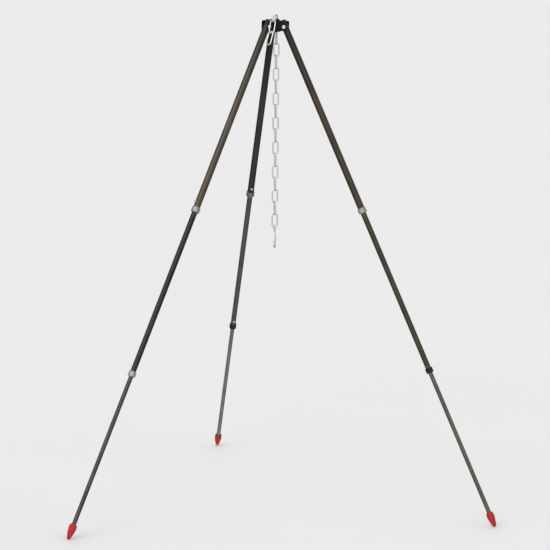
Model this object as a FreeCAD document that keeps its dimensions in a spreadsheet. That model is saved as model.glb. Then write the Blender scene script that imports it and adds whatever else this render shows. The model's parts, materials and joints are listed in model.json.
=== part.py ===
import FreeCAD, Part
import math
import os

import Sketcher
from FreeCAD import Placement, Rotation, Vector

# Campfire tripod with a hanging chain and pot hook, legs spread, millimetres.
# Origin: on the ground, under the axis of the head. +Z up. The back leg points
# to +Y, the left and right ones to azimuths 210 and 330 degrees; front is -Y.

os.makedirs("parts", exist_ok=True)
doc = FreeCAD.newDocument("campfire_tripod")

# ---------------------------------------------------------------- dimensions
SIZES = {
    # legs; lengths along a leg count down from its pivot
    "spread_angle": 25.82,  # each leg from the vertical, degrees
    "pivot_height": 1152.7,  # leg pivots above the ground
    "pivot_radius": 25.6,  # leg pivots from the axis of the head
    "upper_od": 16.0,
    "upper_id": 13.2,
    "middle_od": 13.0,
    "middle_id": 10.2,
    "lower_od": 10.0,
    "lower_id": 7.6,
    "upper_above": 15.0,  # tube above its pivot
    "upper_below": 474.0,  # tube below its pivot
    "middle_top": 407.0,
    "middle_end": 883.0,
    "lower_top": 821.0,
    "lower_end": 1266.0,
    "collar_upper_at": 470.0,  # middles of the two collars
    "collar_lower_at": 879.0,
    "collar_half": 6.3,  # half the height
    "collar_lip": 1.6,
    "collar_upper_wide": 10.0,  # outer radii
    "collar_lower_wide": 8.8,
    "collar_edge": 1.3,
    "plug_rise": 2.6,
    "plug_depth": 8.0,
    "plug_slack": 0.02,
    # snap buttons; base and tip are measured from the axis of the tube
    "button_upper_at": 452.0,
    "button_lower_at": 861.0,
    "button_upper_dia": 6.0,
    "button_lower_dia": 5.4,
    "button_slack": 0.1,
    "button_upper_base": 3.6,
    "button_upper_tip": 10.6,
    "button_lower_base": 2.4,
    "button_lower_tip": 9.1,
    "button_dome": 1.7,
    "spring_thick": 0.6,
    "spring_upper_width": 5.0,
    "spring_lower_width": 4.4,
    "spring_length": 30.0,  # from the button's axis up to the fold
    # feet; rim, wide, nose and well are radii
    "foot_tip_at": 1280.0,
    "foot_length": 36.0,
    "foot_rim": 7.9,
    "foot_wide": 9.1,
    "foot_wide_at": 8.0,  # below the rim
    "foot_nose": 5.0,
    "foot_well": 6.9,
    "foot_well_deep": 6.5,
    # head; heights of the plates are measured from the pivots
    "plate_thick": 2.5,
    "cheek_gap": 8.3,  # half the gap between the two cheeks of a leg
    "plate_reach": 32.5,  # plate end from the axis, along the leg
    "plate_up": 14.6,
    "plate_down": 12.6,
    "plate_down_arm": 9.6,
    "plate_corner": 4.0,
    "horn_up": 18.8,
    "bend_inner": 2.4,
    "notch_x": -4.0,  # the notch sits a little to one side of the bend
    "notch_floor": 9.4,
    "notch_half": 5.0,
    "notch_mouth": 6.2,
    "horn_half": 10.4,
    "rivet_dia": 6.0,
    "rivet_hole": 6.1,
    "tube_hole": 6.2,
    "rivet_head": 5.3,
    "rivet_head_high": 2.7,
    "rivet_roll": 4.9,
    "rivet_roll_high": 2.0,
    # chain, long links of round wire
    "wire_dia": 3.2,
    "link_inner": 29.1,
    "link_width": 15.3,
    "link_pitch": 29.0,
    "chain_x": 3.0,
    "chain_y": -3.0,
    "seat_up": 20.0,  # top of the first hanging link above the pivots
    "seat_azimuth": -122.0,
    "seat_end": 11.0,
    "seat_sag": 1.85,
    "seat_slope": 12.0,  # the link in the notch slopes down outwards
    "hang_lean": 1.2,  # the chain hangs this many degrees off the head's axis
    # hook
    "hook_wire": 3.4,
    "hook_eye": 4.9,  # radii of the wire line in the eye and the bowl
    "hook_bowl": 9.0,
    "hook_shank": 34.1,
    "hook_tip": 6.0,
    "hook_offset": 8.9,
}

# name, azimuth, and angle of the button line about the tube (0 faces away from the head)
LEGS = (("back", 90, 180), ("left", 210, -30), ("right", 330, 90))

X, Y, Z = Vector(1, 0, 0), Vector(0, 1, 0), Vector(0, 0, 1)
COS_30, SIN_30 = 0.8660254, 0.5
MITRE = 1.1547005  # bend corner from the axis, per unit of distance from a leg's plane

OPERATIONS = {
    "+": lambda left, right: left + right,
    "-": lambda left, right: left - right,
    "*": lambda left, right: left * right,
    "/": lambda left, right: left / right,
}


def combine(left, sign, right):
    value = OPERATIONS[sign](float(left), float(right))
    return Size(value, f"({left}{sign}{right})")


class Size:
    """A number that remembers the spreadsheet expression it comes from."""

    def __init__(self, value, text):
        self.value = value
        self.text = text

    def __float__(self):
        return self.value

    def __str__(self):
        return self.text

    def __add__(self, other):
        return combine(self, "+", other)

    def __sub__(self, other):
        return combine(self, "-", other)

    def __rsub__(self, other):
        return combine(other, "-", self)

    def __mul__(self, other):
        return combine(self, "*", other)

    def __rmul__(self, other):
        return combine(other, "*", self)

    def __truediv__(self, other):
        return combine(self, "/", other)

    def __neg__(self):
        return combine(0, "-", self)


class Dimensions:
    """Holds each entry of SIZES as a Size bound to its cell."""


dim = Dimensions()
sheet = doc.addObject("Spreadsheet::Sheet", "Dims")
for row, (size_name, size_value) in enumerate(SIZES.items(), 1):
    sheet.set(f"A{row}", size_name)
    sheet.set(f"B{row}", str(size_value))
    sheet.setAlias(f"B{row}", size_name)
    setattr(dim, size_name, Size(size_value, f"Dims.{size_name}"))
doc.recompute()

nodes = []


def keep(obj, label, placement):
    """Label and place a finished piece, and list it for export."""
    obj.Label = label
    obj.Placement = placement
    nodes.append(obj)
    return obj


# ------------------------------------------------------------------- helpers
def bind(obj, prop, size):
    """Set a number property, and drive it from the sheet if it is a Size."""
    setattr(obj, prop, float(size))
    if isinstance(size, Size):
        obj.setExpression(prop, str(size))


def lift(obj, prop, height):
    """Shift a placement property along Z by a Size."""
    setattr(obj, prop, Placement(Vector(0, 0, float(height)), Rotation()))
    obj.setExpression(f"{prop}.Base.z", str(height))


def sketch_on(body, name, role):
    sketch = body.newObject("Sketcher::SketchObject", name)
    plane = next(f for f in body.Origin.OriginFeatures if f.Role == role)
    sketch.AttachmentSupport = [(plane, "")]
    sketch.MapMode = "FlatFace"
    return sketch


def pin_point(sketch, geo, pos, x, y):
    """Hold one sketch point at x and y from the sketch's origin."""
    for kind, axis, size in (("DistanceX", -2, x), ("DistanceY", -1, y)):
        value = float(size)
        if abs(value) < 1e-12:
            sketch.addConstraint(Sketcher.Constraint("PointOnObject", geo, pos, axis))
            continue
        index = sketch.addConstraint(Sketcher.Constraint(kind, -1, 1, geo, pos, value))
        if isinstance(size, Size):
            sketch.setExpression(f"Constraints[{index}]", str(size))


def add_arc(sketch, start, mid, end):
    """Add an arc; returns its index and which of its points are start and end."""
    centre = Part.Arc(start, mid, end).toShape().Curve.Center
    counterclockwise = (mid - start).cross(end - mid).z > 0
    ordered = (start, end) if counterclockwise else (end, start)
    angles = [math.atan2(p.y - centre.y, p.x - centre.x) for p in ordered]
    if angles[1] <= angles[0]:
        angles[1] += 2 * math.pi
    circle = Part.Circle(centre, Z, centre.distanceToPoint(start))
    geo = sketch.addGeometry(Part.ArcOfCircle(circle, *angles), False)
    return (geo, 1, 2) if counterclockwise else (geo, 2, 1)


def outline(sketch, items):
    """A closed outline of lines and arcs. items: (x, y) corner, or
    (x, y, mid_x, mid_y): an arc from this corner to the next one through mid."""
    corners = [Vector(float(item[0]), float(item[1]), 0) for item in items]
    count = len(items)
    ends = []
    for i, item in enumerate(items):
        start, end = corners[i], corners[(i + 1) % count]
        if len(item) == 4:
            mid = Vector(float(item[2]), float(item[3]), 0)
            arc = add_arc(sketch, start, mid, end)
            ends.append(arc)
            # a point on the arc fixes its radius
            point = sketch.addGeometry(Part.Point(mid), True)
            sketch.addConstraint(Sketcher.Constraint("PointOnObject", point, 1, arc[0]))
            pin_point(sketch, point, 1, item[2], item[3])
        else:
            ends.append((sketch.addGeometry(Part.LineSegment(start, end), False), 1, 2))
    for i in range(count):
        geo, _, end_pos = ends[i]
        next_geo, start_pos, _ = ends[(i + 1) % count]
        sketch.addConstraint(
            Sketcher.Constraint("Coincident", geo, end_pos, next_geo, start_pos)
        )
    for (geo, start_pos, _), item in zip(ends, items):
        pin_point(sketch, geo, start_pos, item[0], item[1])


def revolved(name, items):
    """A body turned about its own Z axis from an outline of (radius, height)."""
    body = doc.addObject("PartDesign::Body", name)
    sketch = sketch_on(body, name + "_profile", "XZ_Plane")
    outline(sketch, items)
    doc.recompute()
    turn = body.newObject("PartDesign::Revolution", name + "_turn")
    turn.Profile = sketch
    turn.ReferenceAxis = (sketch, ["V_Axis"])
    turn.Angle = 360
    doc.recompute()
    return body


def padded(body, name, sketch, length, midplane=False):
    pad = body.newObject("PartDesign::Pad", name)
    pad.Profile = sketch
    bind(pad, "Length", length)
    if midplane:
        pad.Midplane = True
    doc.recompute()
    return pad


def edge_names(shape, wanted):
    """Names of the edges for which wanted(length, start, end) holds."""
    return [
        f"Edge{i}"
        for i, edge in enumerate(shape.Edges, 1)
        if wanted(edge.Length, edge.Vertexes[0].Point, edge.Vertexes[-1].Point)
    ]


def filleted(body, name, base, edges, radius):
    fillet = body.newObject("PartDesign::Fillet", name)
    fillet.Base = (base, edges)
    bind(fillet, "Radius", radius)
    doc.recompute()
    return fillet


def cylinder(name, radius, height, placement=Placement()):
    obj = doc.addObject("Part::Cylinder", name)
    bind(obj, "Radius", radius)
    bind(obj, "Height", height)
    obj.Placement = placement
    return obj


def unit_at(azimuth):
    """The level unit vector at an azimuth in degrees."""
    angle = math.radians(azimuth)
    return Vector(math.cos(angle), math.sin(angle), 0)


def pivot_point(azimuth):
    return unit_at(azimuth) * float(dim.pivot_radius) + Z * float(dim.pivot_height)


def leg_frame(azimuth):
    """At a leg's pivot: +Z up along the tube, +X outwards, +Y along the pivot."""
    tilt = Rotation(Y, -float(dim.spread_angle))
    return Placement(pivot_point(azimuth), Rotation(Z, azimuth).multiply(tilt))


# ------------------------------------------------------------------ the head
# how far the cutting outlines pass the plate
OVER_TOP = 4
OVER_END = 8
HOLE_START = 3  # drill start from the leg's plane, towards the plate
HOLE_DEPTH = 20


def strip(body, label):
    """The bent strip, full height, with both sides of its bend rounded."""
    near = dim.cheek_gap  # faces, by distance from the planes of the legs
    far = dim.cheek_gap + dim.plate_thick

    def arm_end(face):
        x = dim.plate_reach * COS_30 - face * SIN_30
        y = -(dim.plate_reach * SIN_30) - face * COS_30
        return x, y

    near_x, near_y = arm_end(near)
    far_x, far_y = arm_end(far)
    sketch = sketch_on(body, label + "_strip", "XY_Plane")
    lift(sketch, "AttachmentOffset", -dim.plate_down)
    outline(
        sketch,
        [
            (0, -(near * MITRE)),
            (near_x, near_y),
            (far_x, far_y),
            (0, -(far * MITRE)),
            (-far_x, far_y),
            (-near_x, near_y),
        ],
    )
    doc.recompute()
    base = padded(body, label + "_pad", sketch, dim.horn_up + dim.plate_down)

    for side, radius, face in (
        ("outside", dim.bend_inner + dim.plate_thick, near),
        ("inside", dim.bend_inner, far),
    ):
        corner_y = -float(face) * MITRE

        def upright_at_bend(length, start, end):
            return (
                abs(start.x) < 1e-4
                and abs(end.x) < 1e-4
                and abs(start.z - end.z) > 5
                and abs(start.y - corner_y) < 1e-3
            )

        edges = edge_names(base.Shape, upright_at_bend)
        base = filleted(body, f"{label}_bend_{side}", base, edges, radius)


def cut_outline(body, label, notched):
    """Trim the strip as seen from the front: top edge, and arched lower edge."""
    top = dim.horn_up + OVER_TOP
    beyond = dim.plate_reach + OVER_END
    below = -dim.plate_down - 4
    sketch = sketch_on(body, label + "_top", "XZ_Plane")
    if notched:
        notch_top = dim.notch_floor + dim.notch_half
        outline(
            sketch,
            [
                (dim.notch_x - dim.notch_half, notch_top, dim.notch_x, dim.notch_floor),
                (dim.notch_x + dim.notch_half, notch_top),
                (dim.notch_x + dim.notch_mouth, top),
                (dim.notch_x - dim.notch_mouth, top),
            ],
        )
    else:
        outline(
            sketch,
            [(-beyond, dim.plate_up), (beyond, dim.plate_up), (beyond, top), (-beyond, top)],
        )
    for side in (1, -1):
        if notched:
            # shoulder outside a horn
            horn_x = dim.notch_x + side * (dim.horn_half - 1)
            outline(
                sketch,
                [
                    (horn_x, top),
                    (horn_x, dim.horn_up + 0.5),
                    (dim.notch_x + side * (dim.horn_half + 2.5), dim.plate_up),
                    (side * beyond, dim.plate_up),
                    (side * beyond, top),
                ],
            )
        # underside of an arm
        outline(
            sketch,
            [
                (side * 2, -dim.plate_down - 0.01, side * 5, -dim.plate_down_arm - 1.2),
                (side * 9, -dim.plate_down_arm),
                (side * beyond, -dim.plate_down_arm),
                (side * beyond, below),
                (side * 2, below),
            ],
        )
    doc.recompute()
    pocket = body.newObject("PartDesign::Pocket", label + "_outline")
    pocket.Profile = sketch
    pocket.Type = 1  # through all
    pocket.Midplane = True
    doc.recompute()


def drill_plate(body, label):
    """Round holes for the two rivets; returns the last one."""
    for side in (1, -1):
        drill = body.newObject("PartDesign::SubtractiveCylinder", f"{label}_hole{side + 1}")
        bind(drill, "Radius", dim.rivet_hole / 2)
        drill.Height = HOLE_DEPTH
        normal = Vector(-SIN_30 * side, -COS_30, 0)
        pivot = Vector(COS_30 * side, -SIN_30, 0) * float(dim.pivot_radius)
        drill.Placement = Placement(pivot + normal * HOLE_START, Rotation(Z, normal))
        doc.recompute()
    return drill


def hub_plate(label, turn, notched):
    """A strip bent to 120 degrees: near cheek of one leg, far cheek of the next.
    Drawn between the legs at 210 and 330 degrees. One has the chain's notch."""
    body = doc.addObject("PartDesign::Body", label)
    strip(body, label)
    cut_outline(body, label, notched)
    drilled = drill_plate(body, label)

    def across_end(length, start, end):
        """A level edge through the thickness, at the end of an arm."""
        mid = (start + end) * 0.5
        along = abs(mid.x) * COS_30 - mid.y * SIN_30
        return (
            abs(length - float(dim.plate_thick)) <= 1e-3
            and abs(start.z - end.z) <= 1e-4
            and abs(along - float(dim.plate_reach)) < 1e-2
        )

    corners = edge_names(drilled.Shape, across_end)
    body.Tip = filleted(body, label + "_corners", drilled, corners, dim.plate_corner)
    doc.recompute()
    keep(body, label, Placement(Z * float(dim.pivot_height), Rotation(Z, turn)))


def rivet(name, azimuth):
    """A turned rivet: domed head, shank, rolled hollow end."""
    head_base = dim.cheek_gap + dim.plate_thick + 0.05
    roll_base = -head_base
    face = dim.cheek_gap + dim.plate_thick
    roll_end = -face - dim.rivet_roll_high
    dome_y = face + dim.rivet_head_high * 0.76
    body = revolved(
        name,
        [
            (0, roll_end + 1.2),
            (1.5, roll_end + 1.2),
            (2.4, roll_end, 3.9, -face - dim.rivet_roll_high * 0.8),
            (dim.rivet_roll, roll_base),
            (dim.rivet_dia / 2, roll_base),
            (dim.rivet_dia / 2, head_base),
            (dim.rivet_head, head_base),
            (dim.rivet_head, face + 0.6, dim.rivet_head * 0.72, dome_y),
            (0.4, face + dim.rivet_head_high),
            (0, face + dim.rivet_head_high),
        ],
    )
    body.Placement = Placement(pivot_point(azimuth), Rotation(Z, unit_at(azimuth + 90)))
    return body


hub_plate("hub_plate_front", 0, True)
hub_plate("hub_plate_right", 120, False)
hub_plate("hub_plate_left", 240, False)

rivets = doc.addObject("Part::Compound", "pivot_rivets")
rivets.Links = [rivet(f"rivet_{leg}", azimuth) for leg, azimuth, _ in LEGS]
keep(rivets, "pivot_rivets", Placement())

# ------------------------------------------------------------------ the legs
BORE_OVER = 2  # the bore's cutter passes each end of the tube
DRILL_LENGTH = 20  # cross holes, from the axis of the tube
COLLAR_FIT = 0.02  # sleeve round the tube it is fixed to
LIP_FIT = 0.12  # lip round the sliding tube
FOOT_FIT = 0.02
SPRING_GAP = 0.02  # between button and spring
SPRING_INSET = 0.75  # far arm in from the radius of the bore


def tube(name, od, bore, top, end, drills, label, frame):
    """A round tube along local -Z, from top to end, with cross holes.
    drills: (distance below the pivot, diameter, angle, through both walls)."""
    outside = cylinder(name + "_outside", od / 2, end - top)
    lift(outside, "Placement", -end)
    bored = cylinder(name + "_bore", bore / 2, end - top + 2 * BORE_OVER)
    lift(bored, "Placement", -end - BORE_OVER)
    tools = [bored]
    for i, (at, dia, angle, both) in enumerate(drills):
        direction = unit_at(angle)
        start = Vector(0, 0, -float(at))
        length = DRILL_LENGTH
        if both:
            start -= direction * DRILL_LENGTH
            length = 2 * DRILL_LENGTH
        placement = Placement(start, Rotation(Z, direction))
        tools.append(cylinder(f"{name}_drill{i}", dia / 2, length, placement))
    hollow = doc.addObject("Part::Cut", name)
    hollow.Base = outside
    hollow.Tool = doc.addObject("Part::MultiFuse", name + "_tools")
    hollow.Tool.Shapes = tools
    keep(hollow, label, frame)


def top_plug(name, label, frame):
    """A domed plug in the top of the upper tube."""
    top = dim.upper_above
    stem = dim.upper_id / 2 - dim.plug_slack
    cap = dim.upper_od / 2 - 0.1
    dome_x = dim.upper_od / 2 * 0.68
    body = revolved(
        name,
        [
            (0, top - dim.plug_depth),
            (stem, top - dim.plug_depth),
            (stem, top + 0.02),
            (cap, top + 0.02),
            (cap, top + 0.7, dome_x, top + dim.plug_rise * 0.74),
            (0.6, top + dim.plug_rise),
            (0, top + dim.plug_rise),
        ],
    )
    keep(body, label, frame)


def collar(name, at, fixed_od, sliding_od, wide, label, frame):
    """A rolled collar: sleeve over a tube end, with a lip round the next tube."""
    sleeve = fixed_od / 2 + COLLAR_FIT
    lip = sliding_od / 2 + LIP_FIT
    top = dim.collar_half - at
    end = -at - dim.collar_half
    body = revolved(
        name,
        [
            (sleeve, top),
            (sleeve + 0.9, top),
            (wide - 0.45, top - dim.collar_edge),
            (wide, top - dim.collar_edge - 1.4),
            (wide, end + dim.collar_edge + 1.4),
            (wide - 0.45, end + dim.collar_edge),
            (sleeve + 0.3, end),
            (lip, end),
            (lip, end + dim.collar_lip),
            (sleeve, end + dim.collar_lip),
        ],
    )
    keep(body, label, frame)


def button(name, at, dia, base, tip, angle, label, frame):
    """A snap button: round pin with a domed tip, its axis across the tube."""
    radius = dia / 2
    dome = dim.button_dome
    body = revolved(
        name,
        [
            (0, base),
            (radius, base),
            (radius, tip - dome, radius * 0.76, tip - dome * 0.34),
            (0.35, tip),
            (0, tip),
        ],
    )
    local = Placement(Vector(0, 0, -float(at)), Rotation(Z, unit_at(angle)))
    keep(body, label, frame.multiply(local))


def leaf_spring(name, at, base, bore, width, angle, label, frame):
    """A V of spring strip inside the tube. One arm carries the button, the other
    lies on the far wall, and the fold is above."""
    body = doc.addObject("PartDesign::Body", name)
    sketch = sketch_on(body, name + "_strip", "XZ_Plane")
    wall = bore / 2
    front = base - SPRING_GAP
    front_inner = front - dim.spring_thick
    back = SPRING_INSET - wall
    back_inner = back + dim.spring_thick
    flat = dim.button_lower_dia / 2 + 1
    fold = dim.spring_length
    # x towards the button, y up the tube from the button's axis
    outline(
        sketch,
        [
            (front, -flat),
            (front, flat),
            (2.2 - wall, fold),
            (1.3 - wall, fold),
            (back, fold - 1.6),
            (back, flat),
            (back_inner, flat),
            (back_inner, fold - 2.2),
            (1.5 - wall, fold - 1.2),
            (front_inner, flat - 0.2),
            (front_inner, -flat),
        ],
    )
    doc.recompute()
    padded(body, name + "_pad", sketch, width, midplane=True)
    local = Placement(Vector(0, 0, -float(at)), Rotation(Z, angle))
    keep(body, label, frame.multiply(local))


def foot(name, label, frame):
    """A moulded foot cap: bullet shape with an open well round the tube."""
    tip = -dim.foot_tip_at
    top = tip + dim.foot_length
    wide_y = top - dim.foot_wide_at
    nose = dim.foot_nose
    socket = dim.lower_od / 2 + FOOT_FIT
    socket_end = -dim.lower_end - FOOT_FIT
    body = revolved(
        name,
        [
            (dim.foot_well, top),
            (dim.foot_rim, top, dim.foot_wide - 0.25, top - dim.foot_wide_at * 0.45),
            (dim.foot_wide, wide_y, dim.foot_wide - 1.25, wide_y - 10),
            (nose * 0.94, tip + nose * 0.66, nose * 0.65, tip + nose * 0.24),
            (0.6, tip),
            (0, tip),
            (0, socket_end),
            (socket, socket_end),
            (socket, top - dim.foot_well_deep),
            (dim.foot_well, top - dim.foot_well_deep + 1),
        ],
    )
    keep(body, label, frame)


def make_leg(leg, azimuth, line):
    """All the pieces of one leg; line is the angle of its buttons about the tube."""
    frame = leg_frame(azimuth)
    slack = 2 * dim.button_slack
    pivot_hole = (0, dim.tube_hole, 90, True)
    upper_hole = (dim.button_upper_at, dim.button_upper_dia + slack, line, False)
    lower_hole = (dim.button_lower_at, dim.button_lower_dia + slack, line, False)
    tube(
        f"ut_{leg}", dim.upper_od, dim.upper_id, -dim.upper_above, dim.upper_below,
        [pivot_hole, upper_hole], f"{leg}_upper_tube", frame,
    )
    tube(
        f"mt_{leg}", dim.middle_od, dim.middle_id, dim.middle_top, dim.middle_end,
        [upper_hole, lower_hole], f"{leg}_middle_tube", frame,
    )
    tube(
        f"lt_{leg}", dim.lower_od, dim.lower_id, dim.lower_top, dim.lower_end,
        [lower_hole], f"{leg}_lower_tube", frame,
    )
    top_plug(f"plug_{leg}", f"{leg}_top_plug", frame)
    collar(
        f"cu_{leg}", dim.collar_upper_at, dim.upper_od, dim.middle_od,
        dim.collar_upper_wide, f"{leg}_upper_collar", frame,
    )
    collar(
        f"cl_{leg}", dim.collar_lower_at, dim.middle_od, dim.lower_od,
        dim.collar_lower_wide, f"{leg}_lower_collar", frame,
    )
    button(
        f"bu_{leg}", dim.button_upper_at, dim.button_upper_dia, dim.button_upper_base,
        dim.button_upper_tip, line, f"{leg}_upper_button", frame,
    )
    button(
        f"bl_{leg}", dim.button_lower_at, dim.button_lower_dia, dim.button_lower_base,
        dim.button_lower_tip, line, f"{leg}_lower_button", frame,
    )
    leaf_spring(
        f"su_{leg}", dim.button_upper_at, dim.button_upper_base, dim.middle_id,
        dim.spring_upper_width, line, f"{leg}_upper_button_spring", frame,
    )
    leaf_spring(
        f"sl_{leg}", dim.button_lower_at, dim.button_lower_base, dim.lower_id,
        dim.spring_lower_width, line, f"{leg}_lower_button_spring", frame,
    )
    foot(f"fc_{leg}", f"{leg}_foot_cap", frame)


for leg_name, leg_azimuth, button_line in LEGS:
    make_leg(leg_name, leg_azimuth, button_line)

# ----------------------------------------------------------------- the chain
LINK_COUNT = 17  # links hanging below the head
LEAN_AXIS = Vector(-0.211, -0.977, 0)
# the two spare links: direction each falls in, and its turn about that, degrees
TAIL_1_FALL, TAIL_1_TURN = Vector(-0.217, -0.357, -1), 10.0
TAIL_2_FALL, TAIL_2_TURN = Vector(-0.270, -0.131, -1), -48.0
TAIL_STEP_BACK = 4.25  # second spare link's top, up from the first one's lower end

link_bend = (dim.link_width - dim.wire_dia) / 2  # radius of the wire line
link_half = (dim.link_inner + dim.wire_dia) / 2  # middle to the wire line of an end
half_length = float(link_half)
pitch = float(dim.link_pitch)


def link(label, centre, rotation):
    """A long link of round wire in its own XZ plane, long axis Z."""
    straight = link_half - link_bend
    parts = []
    for end, side in (("top", 1), ("end", -1)):
        ring = doc.addObject("Part::Torus", f"{label}_{end}")
        bind(ring, "Radius1", link_bend)
        bind(ring, "Radius2", dim.wire_dia / 2)
        ring.Angle3 = 180
        # the half ring stands in XZ, opening towards the link's middle
        ring.Placement = Placement(
            Vector(0, 0, side * float(straight)), Rotation(X, 90 * side)
        )
        parts.append(ring)
    for end, side in (("a", 1), ("b", -1)):
        foot_of_bar = Vector(side * float(link_bend), 0, -float(straight))
        parts.append(
            cylinder(
                f"{label}_{end}", dim.wire_dia / 2, 2 * straight,
                Placement(foot_of_bar, Rotation()),
            )
        )
    joined = doc.addObject("Part::MultiFuse", label)
    joined.Shapes = parts
    joined.Refine = True
    keep(joined, label, Placement(centre, rotation))


def hanging(fall, turn):
    """The rotation of a link whose -Z end points along fall."""
    return Rotation(Vector(0, 0, -1), fall).multiply(Rotation(Z, turn))


# wire line at the top of the first hanging link
chain_top = Vector(
    float(dim.chain_x), float(dim.chain_y), float(dim.pivot_height) + float(dim.seat_up)
)
lean = Rotation(LEAN_AXIS, float(dim.hang_lean))


def down_chain(distance):
    """A point on the chain's own line, this far below chain_top."""
    return chain_top + lean.multVec(Vector(0, 0, -distance))


# the link in the notch points outwards and slopes down
seat_azimuth = float(dim.seat_azimuth)
outward = unit_at(seat_azimuth)
slope = Rotation(outward.cross(Z), -float(dim.seat_slope))
seat_run = slope.multVec(outward) * float(dim.seat_end)
seat_rise = slope.multVec(Z) * float(dim.seat_sag)
seat_middle = chain_top + seat_run + seat_rise
lying = slope.multiply(Rotation(Z, seat_azimuth).multiply(Rotation(Y, 90)))
link("chain_seat_link", seat_middle, lying)

# each hanging link is a quarter turn from its neighbours
for n in range(LINK_COUNT):
    quarter = Rotation(Z, 90 * (n % 2))
    link(f"chain_link_{n + 1:02d}", down_chain(half_length + n * pitch), lean.multiply(quarter))

# two spare links hang outside the notch: the first lies over a rivet head,
# the second falls clear of the leg
tail_top = seat_middle + seat_run - seat_rise
tail_1 = hanging(TAIL_1_FALL, TAIL_1_TURN)
tail_2 = hanging(TAIL_2_FALL, TAIL_2_TURN)
half_drop = Vector(0, 0, -half_length)
link("chain_tail_link_1", tail_top + tail_1.multVec(half_drop), tail_1)
second_top = tail_top + tail_1.multVec(Vector(0, 0, TAIL_STEP_BACK - 2 * half_length))
link("chain_tail_link_2", second_top + tail_2.multVec(half_drop), tail_2)

# ------------------------------------------------------------------ the hook
HOOK_EASE = 7.0  # height scale of the sideways sweep below the eye
HOOK_EASE_END = 5.0  # the sweep ends this much further down
HOOK_FLARE = 1.2  # the tip leans outwards by this much
EYE_SWELL = 0.05  # the eye's wire radius over the shank's
HOOK_CLEARANCE = 0.1  # between the eye and the last link


def pot_hook(label, at, rotation):
    """Round wire hook in its own YZ plane: closed eye above, open bowl below.
    Its origin is the middle of the wire at the top of the eye."""
    body = doc.addObject("PartDesign::Body", label)
    eye, bowl, offset = float(dim.hook_eye), float(dim.hook_bowl), float(dim.hook_offset)
    eye_foot = -2 * eye
    low = eye_foot - float(dim.hook_shank)
    far_side = -offset + 2 * bowl
    tip = Vector(far_side + HOOK_FLARE, low + float(dim.hook_tip), 0)

    # leaves the eye's foot, eases over to the shank, round the bowl, up to the tip
    path = sketch_on(body, label + "_path", "YZ_Plane")
    shank_top = Vector(-offset, eye_foot - HOOK_EASE - HOOK_EASE_END, 0)
    sweep_points = [
        Vector(0, eye_foot, 0),
        Vector(-offset * 0.22, eye_foot - HOOK_EASE * 0.42, 0),
        Vector(-offset * 0.8, eye_foot - HOOK_EASE * 1.15, 0),
        shank_top,
    ]
    sweep = Part.BSplineCurve()
    sweep.interpolate(
        sweep_points, InitialTangent=Vector(-0.25, -1, 0), FinalTangent=Vector(0, -1, 0)
    )
    bowl_circle = Part.Circle(Vector(-offset + bowl, low, 0), Z, bowl)
    curves = (
        sweep,
        Part.LineSegment(shank_top, Vector(-offset, low, 0)),
        Part.ArcOfCircle(bowl_circle, math.pi, 2 * math.pi),
        Part.LineSegment(Vector(far_side, low, 0), tip),
    )
    pieces = [path.addGeometry(curve, False) for curve in curves]
    for upper, lower in zip(pieces, pieces[1:]):
        path.addConstraint(Sketcher.Constraint("Coincident", upper, 2, lower, 1))
    for piece in pieces:
        path.addConstraint(Sketcher.Constraint("Block", piece))

    wire = dim.hook_wire / 2
    section = sketch_on(body, label + "_wire", "XY_Plane")
    section.AttachmentOffset = Placement(Vector(0, 0, eye_foot), Rotation())
    section.addGeometry(Part.Circle(Vector(0, 0, 0), Z, float(wire)), False)
    radius = section.addConstraint(Sketcher.Constraint("Radius", 0, float(wire)))
    section.setExpression(f"Constraints[{radius}]", str(wire))
    section.addConstraint(Sketcher.Constraint("Coincident", 0, 3, -1, 1))
    doc.recompute()
    pipe = body.newObject("PartDesign::AdditivePipe", label + "_pipe")
    pipe.Profile = section
    pipe.Spine = path
    pipe.Mode = 0
    doc.recompute()

    ring = body.newObject("PartDesign::AdditiveTorus", label + "_eye")
    bind(ring, "Radius1", dim.hook_eye)
    bind(ring, "Radius2", wire + EYE_SWELL)
    ring.Placement = Placement(Vector(0, 0, -eye), Rotation(Y, 90))
    doc.recompute()
    nose = body.newObject("PartDesign::AdditiveSphere", label + "_nose")
    bind(nose, "Radius", wire)
    nose.Placement = Placement(Vector(0, tip.x, tip.y), Rotation())
    doc.recompute()
    body.Tip = nose
    doc.recompute()
    keep(body, label, Placement(at, rotation))


chain_length = (LINK_COUNT - 1) * pitch + 2 * half_length
hook_rise = float((dim.wire_dia + dim.hook_wire) / 2) + HOOK_CLEARANCE
pot_hook("pot_hook", down_chain(chain_length - hook_rise), lean)

# -------------------------------------------------------------------- output
doc.recompute()
problems = []
for obj in doc.Objects:
    if "Invalid" in obj.State or "Error" in obj.State:
        problems.append(f"{obj.Label}: {obj.State}")
for obj in nodes:
    shape = obj.Shape
    if shape.isNull() or not shape.isValid() or not shape.Solids:
        problems.append(f"{obj.Label}: bad shape")
    elif len(shape.Solids) != (len(LEGS) if obj is rivets else 1):
        problems.append(f"{obj.Label}: {len(shape.Solids)} solids")
if len({obj.Label for obj in nodes}) != len(nodes):
    problems.append("two nodes share a name")
if problems:
    raise RuntimeError("; ".join(problems))
for obj in nodes:
    obj.Shape.exportStep(f"parts/{obj.Label}.step")
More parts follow.
